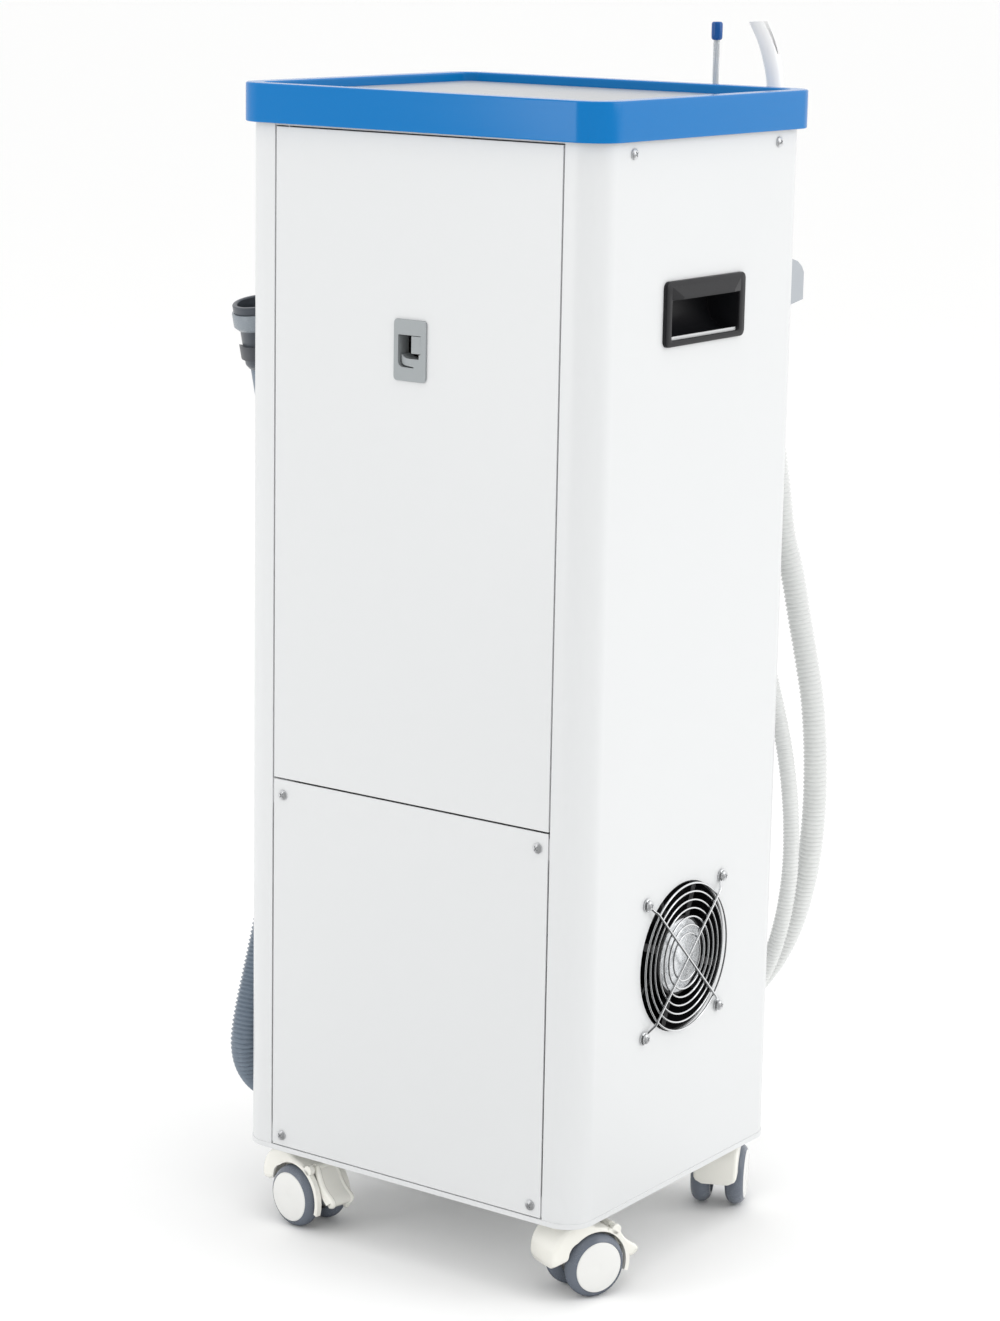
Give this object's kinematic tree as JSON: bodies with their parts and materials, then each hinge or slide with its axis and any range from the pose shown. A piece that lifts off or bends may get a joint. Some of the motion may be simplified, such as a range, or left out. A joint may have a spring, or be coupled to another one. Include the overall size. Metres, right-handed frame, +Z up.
{
  "type": "mobile dental suction unit",
  "caption": "Upright rolling cabinet with an instrument tray, a waste bottle behind a latched door, a vacuum pump, and two hanging suction handpieces on ribbed hoses.",
  "frame": {"origin": "on the floor, under the middle of the footprint box measured without the hoses and the drain connector", "axes": "+Z up; -Y is the front with the handpieces; +Y is the back with the door and the service panel; -X is the fan side; +X is the drain hose side"},
  "size_m": [0.3708, 0.3594, 0.9512],
  "materials": {
    "white_paint": "gloss",
    "grey_steel": "satin",
    "zinc_steel": "satin",
    "chrome_wire": "polished",
    "blue_band": "gloss",
    "grey_floor": "satin",
    "black_plastic": "satin",
    "light_plastic": "satin",
    "white_plastic": "gloss",
    "cream_plastic": "gloss",
    "blue_tip": "satin",
    "hose_grey": "satin",
    "hose_slate": "satin",
    "dark_grey": "satin",
    "silicone": "matte",
    "mount_rubber": "matte",
    "pump_metal": "cast",
    "bottle_clear": "satin",
    "green_rocker": "gloss",
    "wheel_grey": "gloss",
    "silver_plastic": "satin"
  },
  "bodies": {
    "cabinet": {"base_plate": "white_paint", "cabinet_shell": "white_paint", "mid_shelf": "grey_steel", "tray_rim": "blue_band", "tray_floor": "grey_floor", "service_panel": "white_paint", "case_screws": "zinc_steel", "side_handles": "black_plastic", "fan_frame": "black_plastic", "finger_guard": "chrome_wire", "hinge_pins": "zinc_steel", "handpiece_holder": "light_plastic", "hose_ports": "light_plastic", "hose_clip": "dark_grey", "vacuum_pump": "pump_metal", "pump_mounts": "mount_rubber", "waste_bottle": "bottle_clear", "bottle_cap": "light_plastic", "inner_tubes": "silicone", "control_box": "grey_steel", "mains_inlet": "black_plastic", "switch_housing": "black_plastic", "hve_handpiece": "light_plastic", "hve_cannula": "white_plastic", "se_handpiece": "light_plastic", "ejector_tube": "white_plastic", "ejector_tip": "blue_tip", "hve_hose": "hose_grey", "se_hose": "hose_grey", "drain_hose": "hose_slate", "drain_connector": "dark_grey", "connector_nut": "dark_grey", "caster_stems": "zinc_steel"},
    "door": {"door_panel": "white_paint", "latch_bezel": "silver_plastic"},
    "latch_lever": {"latch_lever": "silver_plastic"},
    "latch_bar": {"latch_bar": "zinc_steel"},
    "fan_rotor": {"fan_rotor": "black_plastic"},
    "rocker": {"rocker": "green_rocker"},
    "hve_slider": {"hve_slider": "white_plastic"},
    "se_slider": {"se_slider": "white_plastic"},
    "caster_rl": {"caster_hood_rl": "cream_plastic", "caster_axle_rl": "zinc_steel"},
    "caster_rr": {"caster_hood_rr": "cream_plastic", "caster_axle_rr": "zinc_steel"},
    "caster_fl": {"caster_hood_fl": "cream_plastic", "caster_axle_fl": "zinc_steel"},
    "caster_fr": {"caster_hood_fr": "cream_plastic", "caster_axle_fr": "zinc_steel"},
    "wheel_rl_out": {"wheel_rl_out": "wheel_grey"},
    "wheel_rl_in": {"wheel_rl_in": "wheel_grey"},
    "wheel_rr_out": {"wheel_rr_out": "wheel_grey"},
    "wheel_rr_in": {"wheel_rr_in": "wheel_grey"},
    "wheel_fl_out": {"wheel_fl_out": "wheel_grey"},
    "wheel_fl_in": {"wheel_fl_in": "wheel_grey"},
    "wheel_fr_out": {"wheel_fr_out": "wheel_grey"},
    "wheel_fr_in": {"wheel_fr_in": "wheel_grey"},
    "pedal_rl": {"brake_pedal_rl": "cream_plastic"},
    "pedal_rr": {"brake_pedal_rr": "cream_plastic"}
  },
  "joints": [
    {"name": "door_hinge", "type": "hinge", "parent": "cabinet", "child": "door", "pos_m": [0.10515, 0.1606, 0.619], "axis": [0, 0, -1], "range_deg": [0, 110]},
    {"name": "latch_bar_slide", "type": "slide", "parent": "door", "child": "latch_bar", "axis": [1, 0, 0], "range_m": [0, 0.0073], "stiffness_N_per_m": 150, "springref_m": -0.001},
    {"name": "latch_lever_turn", "type": "hinge", "parent": "door", "child": "latch_lever", "pos_m": [-0.02175, 0.164, 0.7124], "axis": [0, 0, 1], "range_deg": [0, 25.1]},
    {"name": "fan_spin", "type": "hinge", "parent": "cabinet", "child": "fan_rotor", "pos_m": [-0.16115, 0.0263, 0.248], "axis": [-1, 0, 0], "continuous": true},
    {"name": "power_rocker", "type": "hinge", "parent": "cabinet", "child": "rocker", "pos_m": [0.08985, -0.1114, 0.79], "axis": [0, 0, -1], "range_deg": [0, 16]},
    {"name": "hve_slider_slide", "type": "slide", "parent": "cabinet", "child": "hve_slider", "axis": [0, 0, -1], "range_m": [0, 0.012]},
    {"name": "se_slider_slide", "type": "slide", "parent": "cabinet", "child": "se_slider", "axis": [0, 0, -1], "range_m": [0, 0.012]},
    {"name": "caster_rl_swivel", "type": "hinge", "parent": "cabinet", "child": "caster_rl", "pos_m": [-0.14515, 0.1346, 0.05], "axis": [0, 0, 1], "continuous": true},
    {"name": "caster_rr_swivel", "type": "hinge", "parent": "cabinet", "child": "caster_rr", "pos_m": [0.11685, 0.1346, 0.05], "axis": [0, 0, 1], "continuous": true},
    {"name": "caster_fl_swivel", "type": "hinge", "parent": "cabinet", "child": "caster_fl", "pos_m": [-0.14515, -0.0854, 0.05], "axis": [0, 0, 1], "continuous": true},
    {"name": "caster_fr_swivel", "type": "hinge", "parent": "cabinet", "child": "caster_fr", "pos_m": [0.11685, -0.0854, 0.05], "axis": [0, 0, 1], "continuous": true},
    {"name": "wheel_rl_out_spin", "type": "hinge", "parent": "caster_rl", "child": "wheel_rl_out", "pos_m": [-0.16515, 0.12364, 0.025], "axis": [0.9178, -0.3971, 0], "continuous": true},
    {"name": "wheel_rl_in_spin", "type": "hinge", "parent": "caster_rl", "child": "wheel_rl_in", "pos_m": [-0.13945, 0.11252, 0.025], "axis": [0.9178, -0.3971, 0], "continuous": true},
    {"name": "wheel_rr_out_spin", "type": "hinge", "parent": "caster_rr", "child": "wheel_rr_out", "pos_m": [0.102, 0.15191, 0.025], "axis": [-0.1994, -0.9799, 0], "continuous": true},
    {"name": "wheel_rr_in_spin", "type": "hinge", "parent": "caster_rr", "child": "wheel_rr_in", "pos_m": [0.09642, 0.12447, 0.025], "axis": [-0.1994, -0.9799, 0], "continuous": true},
    {"name": "wheel_fl_out_spin", "type": "hinge", "parent": "caster_fl", "child": "wheel_fl_out", "pos_m": [-0.15039, -0.10759, 0.025], "axis": [0.9092, 0.4163, 0], "continuous": true},
    {"name": "wheel_fl_in_spin", "type": "hinge", "parent": "caster_fl", "child": "wheel_fl_in", "pos_m": [-0.12493, -0.09594, 0.025], "axis": [0.9092, 0.4163, 0], "continuous": true},
    {"name": "wheel_fr_out_spin", "type": "hinge", "parent": "caster_fr", "child": "wheel_fr_out", "pos_m": [0.11997, -0.06281, 0.025], "axis": [-0.866, -0.5, 0], "continuous": true},
    {"name": "wheel_fr_in_spin", "type": "hinge", "parent": "caster_fr", "child": "wheel_fr_in", "pos_m": [0.09573, -0.07681, 0.025], "axis": [-0.866, -0.5, 0], "continuous": true},
    {"name": "brake_rl_press", "type": "hinge", "parent": "caster_rl", "child": "pedal_rl", "pos_m": [-0.15945, 0.10156, 0.051], "axis": [0.9178, -0.3971, 0], "range_deg": [0, 6]},
    {"name": "brake_rr_press", "type": "hinge", "parent": "caster_rr", "child": "pedal_rr", "pos_m": [0.08157, 0.14178, 0.051], "axis": [-0.1994, -0.9799, 0], "range_deg": [0, 6]}
  ],
  "couplings": [
    {"joint": "latch_lever_turn", "follows": "latch_bar_slide", "rad_per_m": 59.88}
  ]
}
